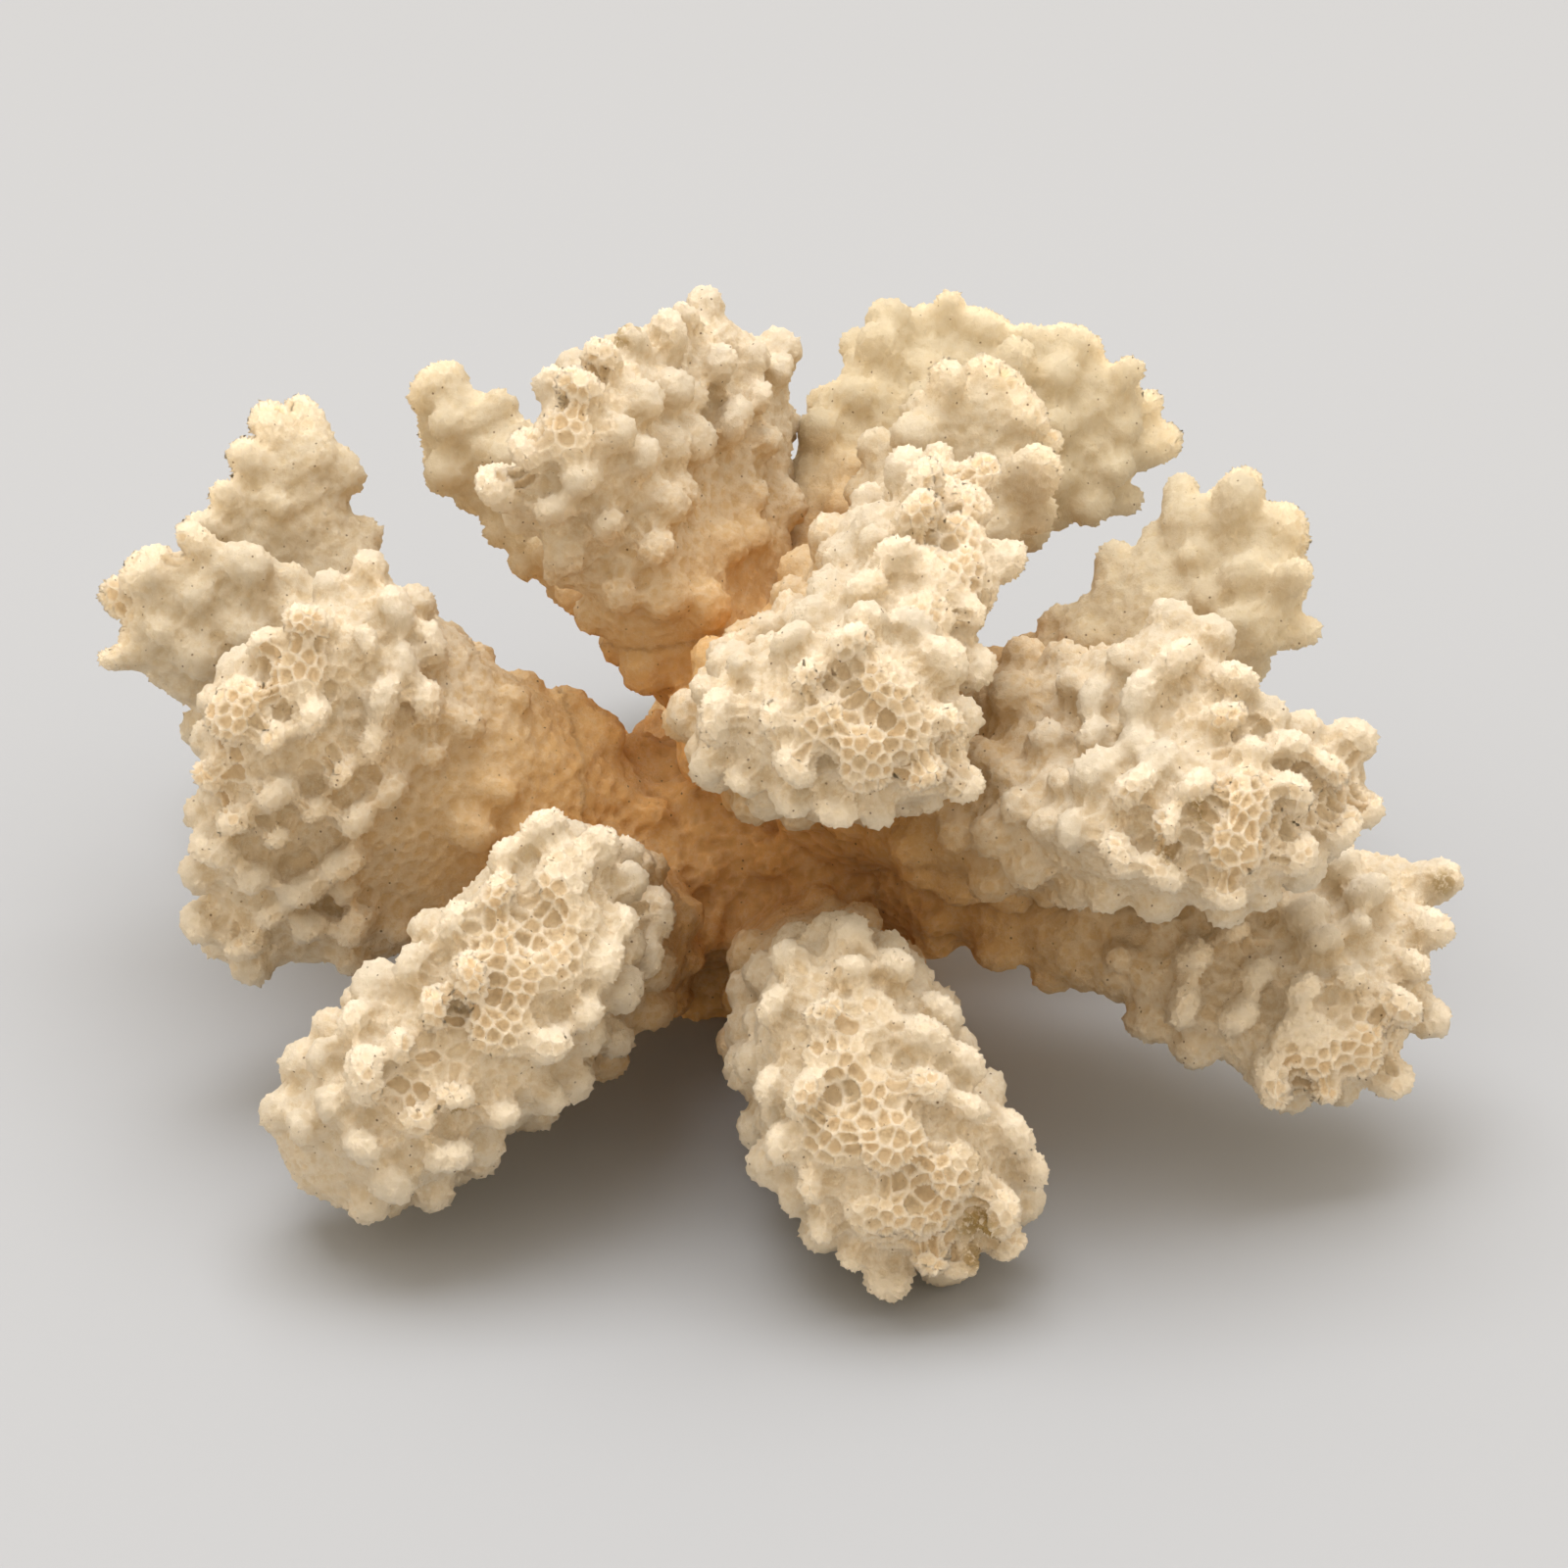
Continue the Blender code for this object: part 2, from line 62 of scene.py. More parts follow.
# Each lobe: root (x, y, z, radius), bend (how far the middle of the way is moved), ridges (x, y, z, radius)
LOBES = {
    "lobe_front_left": (
        (-7.0, -10.0, 7.5, 5.5),
        (0.0, 0.0, 0.0),
        [
            [
                (-12.5, -31.0, 20.5, 5.8),
                (-14.5, -33.0, 17.5, 7.2),
                (-17.5, -35.0, 13.5, 8.2),
                (-21.5, -36.5, 10.5, 8.2),
                (-24.5, -36.5, 7.8, 6.8),
            ]
        ],
    ),
    "lobe_front": (
        (3.0, -12.0, 6.5, 5.5),
        (0.0, 0.0, 0.0),
        [
            [
                (5.5, -37.0, 15.5, 6.6),
                (7.0, -39.5, 11.5, 8.4),
                (9.0, -41.0, 9.0, 8.2),
                (13.0, -41.0, 6.0, 5.2),
            ]
        ],
    ),
    "lobe_right_low": (
        (9.0, -9.0, 12.0, 5.5),
        (0.0, 0.0, 4.0),
        [
            [
                (40.6, -20.0, 15.3, 4.2),
                (39.7, -24.0, 12.4, 5.0),
                (37.3, -28.0, 10.4, 5.4),
                (33.4, -30.0, 9.2, 4.4),
            ]
        ],
    ),
    "lobe_right_front": (
        (7.0, -10.0, 18.0, 6.5),
        (0.0, 0.0, 0.0),
        [
            [
                (26.1, -23.0, 32.4, 4.8),
                (28.3, -28.0, 29.5, 5.2),
                (28.4, -32.0, 26.4, 6.6),
                (23.6, -32.0, 26.4, 5.0),
            ],
            [(28.4, -32.0, 26.4, 6.6), (34.3, -27.0, 26.8, 5.0)],
        ],
    ),
    "lobe_right_back": (
        (10.0, -2.0, 13.0, 5.0),
        (0.0, 0.0, -2.0),
        [
            [
                (29.0, 4.0, 30.4, 3.4),
                (33.4, 2.0, 30.7, 3.7),
                (34.5, -1.0, 28.2, 3.5),
                (32.9, -3.0, 25.7, 3.4),
            ]
        ],
    ),
    "lobe_back_right": (
        (3.0, 1.0, 20.0, 4.5),
        (-2.0, 0.0, 4.0),
        [
            [
                (7.9, 17.0, 36.7, 3.2),
                (11.4, 19.0, 38.2, 3.6),
                (16.0, 18.0, 36.1, 3.4),
                (20.7, 17.0, 36.4, 3.5),
                (24.3, 16.0, 34.2, 3.5),
                (25.4, 15.0, 31.0, 3.2),
                (21.7, 13.0, 28.2, 3.3),
            ]
        ],
    ),
    "lobe_top_right": (
        (4.0, -3.0, 22.0, 5.0),
        (0.0, 0.0, 0.0),
        [[(12.0, 2.0, 38.9, 3.6), (14.9, 3.0, 39.1, 3.6), (16.9, 2.0, 37.0, 3.4), (16.8, 0.0, 34.8, 3.6)]],
    ),
    "lobe_crown": (
        (1.0, -8.0, 22.0, 6.5),
        (0.0, 0.0, 0.0),
        [
            [
                (11.6, -12.0, 40.0, 3.9),
                (11.1, -18.0, 37.5, 5.2),
                (8.0, -25.0, 34.8, 6.4),
                (6.0, -32.0, 34.0, 7.0),
                (0.5, -30.0, 32.6, 5.4),
            ],
            [(6.0, -32.0, 34.0, 7.0), (9.7, -32.0, 32.1, 5.2)],
        ],
    ),
    "lobe_top_left": (
        (-1.5, -3.0, 20.0, 4.5),
        (0.0, 0.0, 0.0),
        [
            [
                (-13.7, -8.0, 38.9, 3.8),
                (-11.1, -8.0, 41.9, 4.6),
                (-9.1, -3.0, 42.7, 4.4),
                (-6.3, 3.0, 42.9, 4.0),
                (-3.1, 7.0, 41.6, 4.2),
                (0.4, 10.0, 38.9, 3.8),
                (1.0, 10.0, 34.6, 3.2),
            ]
        ],
    ),
    "lobe_back_left": (
        (-2.0, 1.0, 22.0, 4.0),
        (0.0, 0.0, 0.0),
        [
            [
                (-18.0, 10.0, 36.6, 2.9),
                (-21.2, 11.0, 36.2, 3.2),
                (-21.1, 11.0, 32.0, 3.0),
                (-17.0, 8.0, 28.3, 3.1),
            ]
        ],
    ),
    "lobe_left_back": (
        (-8.0, 0.0, 11.0, 4.5),
        (-3.0, 0.0, -8.0),
        [
            [
                (-35.5, 7.0, 28.0, 3.2),
                (-33.5, 9.0, 31.0, 3.4),
                (-30.0, 11.0, 32.0, 3.4),
                (-29.5, 11.0, 29.5, 3.2),
            ]
        ],
    ),
    "lobe_left_tip": (
        (-10.0, -2.0, 13.0, 5.0),
        (0.0, 0.0, -2.0),
        [
            [
                (-32.0, 0.0, 29.0, 3.2),
                (-35.5, -1.0, 29.5, 3.5),
                (-38.8, -1.0, 28.0, 3.8),
                (-39.8, -1.0, 24.5, 3.8),
                (-38.2, -1.0, 21.5, 3.2),
            ]
        ],
    ),
    "lobe_left_front": (
        (-10.0, -8.0, 13.0, 7.0),
        (0.0, 0.0, 0.0),
        [
            [
                (-24.6, -12.0, 31.6, 3.8),
                (-27.6, -17.0, 30.5, 4.7),
                (-31.1, -19.0, 27.3, 4.8),
                (-32.5, -19.0, 22.0, 4.5),
                (-33.0, -18.0, 16.7, 4.0),
                (-32.9, -17.0, 11.7, 3.9),
                (-30.4, -16.0, 10.1, 3.7),
            ]
        ],
    ),
    "lobe_rear": (
        (1.0, 7.0, 10.0, 5.5),
        (0.0, 0.0, 1.0),
        [[(-8.0, 32.0, 12.5, 4.6), (-3.0, 35.0, 10.0, 5.4), (3.0, 35.5, 8.5, 5.6), (9.0, 33.0, 8.0, 4.8)]],
    ),
    "lobe_rear_left": (
        (-7.0, 4.0, 8.0, 5.0),
        (0.0, 0.0, -2.5),
        [
            [
                (-32.0, 20.0, 16.5, 4.0),
                (-31.5, 24.0, 13.0, 4.8),
                (-28.5, 27.0, 9.5, 5.0),
                (-24.5, 28.0, 7.0, 4.4),
            ]
        ],
    ),
    "lobe_rear_right": (
        (7.0, 4.0, 9.0, 5.0),
        (0.0, 0.0, -2.0),
        [
            [
                (31.0, 17.0, 17.5, 4.2),
                (32.0, 21.0, 14.0, 4.8),
                (29.5, 25.0, 10.0, 5.0),
                (25.0, 27.0, 7.5, 4.4),
            ]
        ],
    ),
}

# Where a lobe's honeycomb faces, when that isn't straight away from its root
AIMS = {
    "lobe_front_left": (0.3, -0.68, 0.67),
    "lobe_right_front": (0.25, -0.87, 0.42),
    "lobe_right_low": (0.3, -0.9, 0.2),
    "lobe_left_front": (-0.17, -0.83, 0.53),
    "lobe_top_left": (-0.2, -0.7, 0.7),
}

# How much each lobe glows yellow: the thin ones at the back do, with the light behind them
GLOW = {
    "lobe_back_right": 1.0,
    "lobe_back_left": 0.7,
    "lobe_top_right": 0.5,
    "lobe_right_back": 0.85,
    "lobe_left_back": 0.5,
    "lobe_left_tip": 0.3,
    "lobe_rear": 0.7,
    "lobe_rear_left": 0.7,
    "lobe_rear_right": 0.7,
}

# How finely each node is made: the edge of its faces. The growing edges get half of that.
# The bare and the rough body, on which the warts and the corallites find their places, are coarser.
GRAIN = {"trunk": 0.4, "lobe_rear": 0.5, "lobe_rear_left": 0.5, "lobe_rear_right": 0.5}
USUAL_GRAIN = 0.36
BARE_GRAIN = 0.8
ROUGH_GRAIN = 0.5

# The forms' balls: the step between them, how near two of a lobe may be, and how far out their warts reach
BALL_STEP = 1.6
BALL_CROWDING = 1.15
FORM_MARGIN = 6.0

# Warts: half their width, thickness and length, their spacing, how much they lean, and how deep those on the
# faces sit. The crests have low pads instead, where the skin faces the growth's direction at least this much.
WART = np.array((1.48, 1.08, 2.65))
WART_SPACING = 2.7
WART_LEAN = 0.75
WART_SINK = 0.35
PAD = np.array((1.9, 1.9, 1.2))
CREST_FACING = 0.87

# How far the bare form lies inside the CAD's balls, at the roots and at the growing edges
ROOT_INSET = 0.8
EDGE_INSET = 1.45

# How much the forms swell and shrink from place to place
LUMPINESS = 0.7

# Corallites, the small cups: their spacing, how far above the skin their places are, the depth of open and
# closed ones, the half width of the walls between them, and how far the walls stand out
CUP_SPACING = 0.79
CUP_RISE = 0.45
CUP_DEPTH = 0.42
CLOSED_DEPTH = 0.18
WALL = 0.16
WALL_LIFT = 0.12

# The pits on the trunk, and the grain of the skin
PIT_DEPTH = 0.28
ROUGHNESS = 0.07

# How far the nodes run past the planes where they meet, and the height at which the lobes are cut off below
CUT_OVERLAP = 0.15
LOBE_FOOT = 0.4

# How far past such a plane a ball's skin or a wart's foot may lie and still shape the node
BALL_MARGIN = 1.5
WART_MARGIN = 4.5

# Brown patches: x, y, z, radius and strength
STAINS = [
    (-8.9, 1.0, 46.3, 2.1, 0.9),
    (-8.1, -1.4, 46.1, 1.8, 0.8),
    (13.9, -45.9, 6.5, 2.2, 0.9),
    (14.1, -45.6, 4.2, 1.8, 0.8),
    (14.4, -47.0, 11.2, 1.5, 0.7),
    (25.1, -36.9, 26.8, 1.4, 0.6),
    (28.2, -38.8, 27.6, 1.4, 0.65),
    (32.2, -37.5, 27.5, 1.4, 0.6),
    (27.1, -36.3, 29.8, 1.3, 1.0),
    (-17.6, -42.9, 12.4, 1.2, 0.9),
    (43.9, -22.2, 17.3, 1.4, 0.7),
]


def lerp(a, b, t):
    return a + (b - a) * t


def smooth(low, high, value):
    t = np.clip((value - low) / (high - low), 0.0, 1.0)
    return t * t * (3 - 2 * t)


class Forms:
    """All the balls of the bare skeleton as arrays: centre, radius, owner and reach.

    The owner is the lobe's number, or -1 on the trunk. The reach goes from 0 at the root to 1 at the
    growing edge.
    """

    def __init__(self):
        centres, radii, owners, reaches = [], [], [], []
        for x, y, z, r in TRUNK_BALLS:
            centres.append((x, y, z))
            radii.append(r)
            owners.append(-1)
            reaches.append(0.0)
        for number, (root, bend, ridges) in enumerate(LOBES.values()):
            root = np.array(root)
            for ridge in ridges:
                crest = [np.array(ridge[0])]
                for a, b in zip(ridge, ridge[1:]):
                    a, b = np.array(a), np.array(b)
                    count = max(1, math.ceil(np.linalg.norm(b[:3] - a[:3]) / BALL_STEP))
                    crest += [lerp(a, b, k / count) for k in range(1, count + 1)]
                for tip in crest:
                    count = max(1, math.ceil(np.linalg.norm(tip[:3] - root[:3]) / BALL_STEP))
                    for k in range(count + 1):
                        u = k / count
                        here = lerp(root, tip, u)
                        centres.append(here[:3] + np.array(bend) * 2 * u * (1 - u))
                        radii.append(here[3])
                        owners.append(number)
                        reaches.append(u)
        kept = [np.arange(len(TRUNK_BALLS)), self.thinned(np.array(centres), np.array(owners))]
        kept = np.concatenate(kept)
        self.centres = np.array(centres)[kept]
        self.owners = np.array(owners)[kept]
        self.reaches = np.array(reaches)[kept]
        self.radii = np.array(radii)[kept] - lerp(ROOT_INSET, EDGE_INSET, smooth(0.3, 0.8, self.reaches))
        self.radii += LUMPINESS * np.array([noise.noise(Vector(c) * 0.24) for c in self.centres])
        self.roots = np.array([root[:3] for root, _, _ in LOBES.values()] + [tuple(HUB)])
        self.aims = np.array([AIMS.get(name, (0.0, 0.0, 0.0)) for name in LOBES] + [(0.0, 0.0, 0.0)])

    @staticmethod
    def thinned(centres, owners):
        """Numbers of the lobes' balls, without those that crowd each other near the roots."""
        kept = []
        for number in range(len(LOBES)):
            mine = np.flatnonzero(owners == number)
            kept.append(mine[spaced(centres[mine], BALL_CROWDING, np.random.default_rng(number))])
        return np.concatenate(kept)

    def near(self, low, high):
        """The forms whose balls come within reach of a box."""
        part = object.__new__(Forms)
        around = self.radii[:, None] + FORM_MARGIN
        inside = ((self.centres + around > low) & (self.centres - around < high)).all(1)
        part.centres, part.radii = self.centres[inside], self.radii[inside]
        part.owners, part.reaches = self.owners[inside], self.reaches[inside]
        part.roots, part.aims = self.roots, self.aims
        return part

    def describe(self, places, normals=None):
        """For each place: height above the bare form, how much it faces the growth, reach, and the growth."""
        height = np.empty(len(places))
        best = np.empty(len(places), int)
        reach = np.empty(len(places))
        centres = self.centres.astype(np.float32)
        squares = (centres**2).sum(1)
        for start in range(0, len(places), 8000):
            part = places[start : start + 8000].astype(np.float32)
            gaps = (part**2).sum(1)[:, None] + squares[None] - 2 * part @ centres.T
            gaps = np.sqrt(np.maximum(gaps, 0)) - self.radii.astype(np.float32)
            nearest = gaps.argmin(1)
            low = gaps[np.arange(len(part)), nearest]
            height[start : start + 8000] = low
            best[start : start + 8000] = nearest
            gaps -= low[:, None]
            weights = np.exp(gaps * -1.25, out=gaps)
            reach[start : start + 8000] = (weights @ self.reaches.astype(np.float32)) / weights.sum(1)
        growth = places - self.roots[self.owners[best]]
        growth /= np.linalg.norm(growth, axis=1)[:, None] + 1e-9
        aim = self.aims[self.owners[best]]
        growth = lerp(growth, aim, (smooth(0.55, 0.85, reach) * aim.any(axis=1))[:, None])
        growth /= np.linalg.norm(growth, axis=1)[:, None] + 1e-9
        if normals is None:
            normals = places - self.centres[best]
            normals /= np.linalg.norm(normals, axis=1)[:, None] + 1e-9
        return height, (normals * growth).sum(1), reach, growth


def unit_ball(level, power):
    bm = bmesh.new()
    bmesh.ops.create_icosphere(bm, subdivisions=level, radius=1.0)
    places = np.array([vert.co for vert in bm.verts])
    faces = np.array([[vert.index for vert in face.verts] for face in bm.faces])
    bm.free()
    places /= ((np.abs(places) ** power).sum(1) ** (1 / power))[:, None]
    return places, faces


def mesh_of_shapes(kinds):
    """One mesh of many stretched balls. kinds is a list of (ball, centres, shape arrays)."""
    all_places, all_faces, base = [], [], 0
    for (places, faces), centres, shapes in kinds:
        if not len(centres):
            continue
        moved = np.einsum("nij,vj->nvi", shapes, places) + centres[:, None]
        all_places.append(moved.reshape(-1, 3))
        offsets = base + len(places) * np.arange(len(centres))
        all_faces.append((faces[None] + offsets[:, None, None]).reshape(-1, 3))
        base += len(places) * len(centres)
    places, faces = np.concatenate(all_places) * MM, np.concatenate(all_faces)
    mesh = bpy.data.meshes.new("helper")
    mesh.vertices.add(len(places))
    mesh.vertices.foreach_set("co", places.astype(np.float32).ravel())
    mesh.loops.add(faces.size)
    mesh.loops.foreach_set("vertex_index", faces.ravel())
    mesh.polygons.add(len(faces))
    mesh.polygons.foreach_set("loop_start", np.arange(0, faces.size, 3))
    mesh.update(calc_edges=True)
    return mesh


def fused(mesh, voxel):
    thing = bpy.data.objects.new("helper", mesh)
    bpy.context.scene.collection.objects.link(thing)
    modifier = thing.modifiers.new("remesh", "REMESH")
    modifier.mode = "VOXEL"
    modifier.voxel_size = voxel * MM
    graph = bpy.context.evaluated_depsgraph_get()
    made = bpy.data.meshes.new_from_object(thing.evaluated_get(graph))
    bpy.data.objects.remove(thing)
    bpy.data.meshes.remove(mesh)
    return made


def places_of(mesh, what="co"):
    values = np.empty(len(mesh.vertices) * 3, np.float32)
    mesh.vertices.foreach_get(what, values)
    return values.reshape(-1, 3).astype(float) / (MM if what == "co" else 1)


def tree_of(places):
    tree = KDTree(len(places))
    for index, place in enumerate(places):
        tree.insert(place, index)
    tree.balance()
    return tree


def spaced(places, spacing, random):
    """Numbers of the places that are kept when none may be nearer to another than the spacing."""
    tree = tree_of(places)
    free = np.ones(len(places), bool)
    kept = []
    for index in random.permutation(len(places)):
        if free[index]:
            kept.append(index)
            for _, other, _ in tree.find_range(places[index], spacing):
                free[other] = False
    return np.array(kept)


def turned(outward, across):
    """Rotation arrays whose third column points outward and first column as far across as it can."""
    third = outward / np.linalg.norm(outward, axis=1)[:, None]
    first = across - third * (across * third).sum(1)[:, None]
    first /= np.linalg.norm(first, axis=1)[:, None] + 1e-9
    second = np.cross(third, first)
    return np.stack([first, second, third], axis=2)


def grow_warts(forms, random):
    """Centres, shape arrays and owners of the warts (leaning tongues) and of the low pads on the crests."""
    round_shapes = np.eye(3)[None] * forms.radii[:, None, None]
    body = fused(mesh_of_shapes([(unit_ball(2, 2.0), forms.centres, round_shapes)]), BARE_GRAIN)
    places, normals = places_of(body), places_of(body, "normal")
    bpy.data.meshes.remove(body)
    kept = spaced(places, WART_SPACING, random)
    places, normals = places[kept], normals[kept]
    _, facing, reach, growth = forms.describe(places, normals)
    share = lerp(0.4, 1.0, smooth(0.35, 0.75, reach)) * lerp(0.65, 1.0, smooth(0.0, 0.4, facing))
    kept = random.uniform(0, 1, len(places)) < share
    places, normals, growth, facing, reach = (v[kept] for v in (places, normals, growth, facing, reach))
    size = random.uniform(0.78, 1.18, len(places))
    slim = random.uniform(0.85, 1.18, len(places))
    petal = smooth(0.2, 0.55, facing) * smooth(0.45, 0.75, reach)
    sideways = growth - normals * facing[:, None]
    outward = normals + sideways * (WART_LEAN * lerp(0.35, 1.0, petal))[:, None]
    outward += random.normal(0, 0.1, outward.shape)
    across = np.cross(growth, normals)
    turn = turned(outward, across)
    stretch = np.stack(
        [
            WART[0] * size * slim * lerp(0.9, 1.0, petal),
            WART[1] * size * lerp(1.45, 1.0, petal),
            WART[2] * size * lerp(0.62, 1.0, petal),
        ],
        axis=1,
    )
    on_crest = (facing > CREST_FACING) & (reach > 0.6)
    turn_crest = turned(normals, across)
    stretch_crest = np.stack([PAD[0] * size * slim, PAD[1] * size / slim, PAD[2] * size], axis=1)
    turn[on_crest] = turn_crest[on_crest]
    stretch[on_crest] = stretch_crest[on_crest]
    places -= normals * (WART_SINK * (1 - petal))[:, None]
    gaps = np.linalg.norm(places[:, None] - forms.centres[None], axis=2) - forms.radii[None]
    return places, turn * stretch[:, None, :], forms.owners[gaps.argmin(1)]


def axis_of(lobe):
    crest = np.array([p[:3] for ridge in lobe[2] for p in ridge])
    axis = crest.mean(0) - HUB
    return axis / np.linalg.norm(axis)


def cut_planes():
    """For each node the planes that bound it: (place, outward normal)."""
    down = np.array((0.0, 0.0, -1.0))
    planes = {"trunk": [(np.zeros(3), down)]}
    for name, lobe in LOBES.items():
        axis = axis_of(lobe)
        fork = HUB + axis * FORK
        planes["trunk"].append((fork, axis))
        planes[name] = [(np.array((0.0, 0.0, LOBE_FOOT)), down), (fork, -axis)]
    return planes


def set_attribute(mesh, name, values):
    attribute = mesh.attributes.new(name, "FLOAT", "POINT")
    attribute.data.foreach_set("value", np.asarray(values, np.float32))


def get_attribute(mesh, name):
    values = np.empty(len(mesh.vertices), np.float32)
    mesh.attributes[name].data.foreach_get("value", values)
    return values.astype(float)


def soften(mesh, weights, rounds):
    """Moves each vertex towards the middle of its neighbours, by its weight."""
    edges = np.empty(len(mesh.edges) * 2, np.int32)
    mesh.edges.foreach_get("vertices", edges)
    a, b = edges.reshape(-1, 2).T
    places = places_of(mesh)
    count = len(places)
    neighbours = np.bincount(a, minlength=count) + np.bincount(b, minlength=count)
    for _ in range(rounds):
        sums = [np.bincount(a, places[b, k], count) + np.bincount(b, places[a, k], count) for k in range(3)]
        middle = np.stack(sums, axis=1) / neighbours[:, None]
        places += (middle - places) * weights[:, None]
    mesh.vertices.foreach_set("co", (places * MM).astype(np.float32).ravel())
    mesh.update()


def prepare_skin(mesh, forms):
    """Stores reach, height and facing, melts the bumps near the trunk, and splits faces on growing edges."""
    height, facing, reach, _ = forms.describe(places_of(mesh))
    set_attribute(mesh, "reach", reach)
    set_attribute(mesh, "height", height)
    set_attribute(mesh, "facing", facing)
    soften(mesh, lerp(0.45, 0.02, smooth(0.25, 0.55, reach)), 4)
    fine = (facing > 0.6) & (reach > 0.6)
    bm = bmesh.new()
    bm.from_mesh(mesh)
    edges = set()
    for face in bm.faces:
        if all(fine[vert.index] for vert in face.verts):
            edges.update(face.edges)
    bmesh.ops.subdivide_edges(bm, edges=list(edges), cuts=1, use_grid_fill=True, smooth=0.0)
    bmesh.ops.triangulate(bm, faces=[face for face in bm.faces if len(face.verts) > 4])
    bm.to_mesh(mesh)
    bm.free()


class Cups:
    """The corallites: their places, how open each is, and a mood, 0 to 1, that varies from one to another."""

    def __init__(self, skin, normals, forms, random):
        # Moved outwards, so that the cups on the two sides of a thin wart stay apart
        skin = skin + normals * CUP_RISE + random.uniform(-0.2, 0.2, skin.shape)
        self.places = skin[spaced(skin, CUP_SPACING, random)]
        tree = tree_of(self.places)
        nearest = np.array([tree.find(place)[1] for place in skin])
        size = np.bincount(nearest, minlength=len(self.places))[:, None]
        middle = np.stack([np.bincount(nearest, skin[:, k], len(self.places)) for k in range(3)], axis=1)
        self.places = middle / size
        self.tree = tree_of(self.places)
        self.mood = random.uniform(0, 1, len(self.places))
        height, facing, reach, _ = forms.describe(self.places)
        wander = random.uniform(-0.07, 0.07, len(self.places))
        wander += np.array([0.16 * noise.noise(Vector(c) * 0.16) for c in self.places])
        on_edge = smooth(0.81, 0.97, facing + wander)
        on_tips = smooth(2.2, 3.0, height) * smooth(0.5, 0.75, facing + wander)
        self.open = np.maximum(on_edge, on_tips * 0.3) * smooth(0.6, 0.75, reach)

    def around(self, places):
        """For each place: its cup, how far that, its wall and the next wall are, the way across, openness."""
        near = np.array([[found[1] for found in self.tree.find_n(place, 3)] for place in places])
        one, two, three = (self.places[near[:, k]] for k in range(3))
        gap = ((places - one) ** 2).sum(1)
        across = two - one
        length = np.linalg.norm(across, axis=1) + 1e-9
        wall = (((places - two) ** 2).sum(1) - gap) / (2 * length)
        other = (((places - three) ** 2).sum(1) - gap) / (2 * np.linalg.norm(three - one, axis=1) + 1e-9)
        raised = np.maximum(self.open[near[:, 0]], self.open[near[:, 1]])
        return near[:, 0], np.sqrt(gap), wall, other, across / length[:, None], raised


def carve_cups(mesh, cups, random):
    """Presses the corallites into the skin and stores what the material needs to know."""
    places, normals = places_of(mesh), places_of(mesh, "normal")
    reach = get_attribute(mesh, "reach")
    cup, near, wall, other, across, raised = cups.around(places + normals * CUP_RISE)
    mood, opened = cups.mood[cup], cups.open[cup]
    # Vertices near a wall's middle line are drawn onto it, and the next ones to its foot
    aimed = np.where(wall < 0.11, 0.0, WALL + (wall - WALL) * 0.35)
    drawn = (wall < 0.3) & (raised > 0.15) & (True)
    places -= across * np.where(drawn, aimed - wall, 0.0)[:, None]
    wall = np.where(drawn, aimed, wall)
    wall = np.minimum(wall, other) - 0.06 * smooth(0.3, 0.0, np.abs(wall - other)) * (wall > 0.02)
    bowl = smooth(0.0, WALL, wall)
    trunk = smooth(0.45, 0.15, reach)
    depth = lerp(CLOSED_DEPTH * (1 - trunk), CUP_DEPTH * lerp(0.6, 1.25, mood), opened)
    pits = smooth(0.5, 0.26, near) * PIT_DEPTH * trunk * (mood > 0.25)
    lift = WALL_LIFT * raised * (1 - bowl) - depth * bowl - pits
    lift += random.normal(0, ROUGHNESS, len(places)) * smooth(0.3, 0.7, reach)
    places += normals * lift[:, None]
    mesh.vertices.foreach_set("co", (places * MM).astype(np.float32).ravel())
    set_attribute(mesh, "wall", wall)
    set_attribute(mesh, "raised", raised)
    set_attribute(mesh, "open", opened)
    set_attribute(mesh, "mood", mood)
    set_attribute(mesh, "pit", pits / PIT_DEPTH)
    stain = np.zeros(len(places))
    for x, y, z, radius, strength in STAINS:
        away = np.linalg.norm(places - np.array((x, y, z)), axis=1)
        stain = np.maximum(stain, strength * smooth(radius, radius * 0.3, away))
    set_attribute(mesh, "stain", stain)


def cut_piece(mesh, planes):
    """Cuts the mesh off at its node's planes, keeps its largest body, and shades it smooth up to the cuts."""
    bm = bmesh.new()
    bm.from_mesh(mesh)
    for face in bm.faces:
        face.smooth = True
    for place, outward in planes:
        if ((places_of(mesh) - place) @ outward).max() < CUT_OVERLAP:
            continue
        geometry = bm.verts[:] + bm.edges[:] + bm.faces[:]
        # The level cuts below lie exactly at their height
        level = abs(outward[2] + 1) < 1e-6
        cut_at = Vector((place + outward * (0.0 if level else CUT_OVERLAP)) * MM)
        bmesh.ops.bisect_plane(
            bm, geom=geometry, dist=1e-7, plane_co=cut_at, plane_no=Vector(outward), clear_outer=True
        )
        rim = [edge for edge in bm.edges if edge.is_boundary]
        if rim:
            for edge in rim:
                edge.smooth = False
            caps = bmesh.ops.holes_fill(bm, edges=rim, sides=0)["faces"]
            bmesh.ops.triangulate(bm, faces=caps)
    left = set(bm.verts)
    bodies = []
    while left:
        start = left.pop()
        body, front = {start}, [start]
        while front:
            for edge in front.pop().link_edges:
                for vert in edge.verts:
                    if vert in left:
                        left.remove(vert)
                        body.add(vert)
                        front.append(vert)
        bodies.append(body)
    bodies.sort(key=len)
    crumbs = [vert for body in bodies[:-1] for vert in body]
    bmesh.ops.delete(bm, geom=crumbs, context="VERTS")
    bm.to_mesh(mesh)
    bm.free()


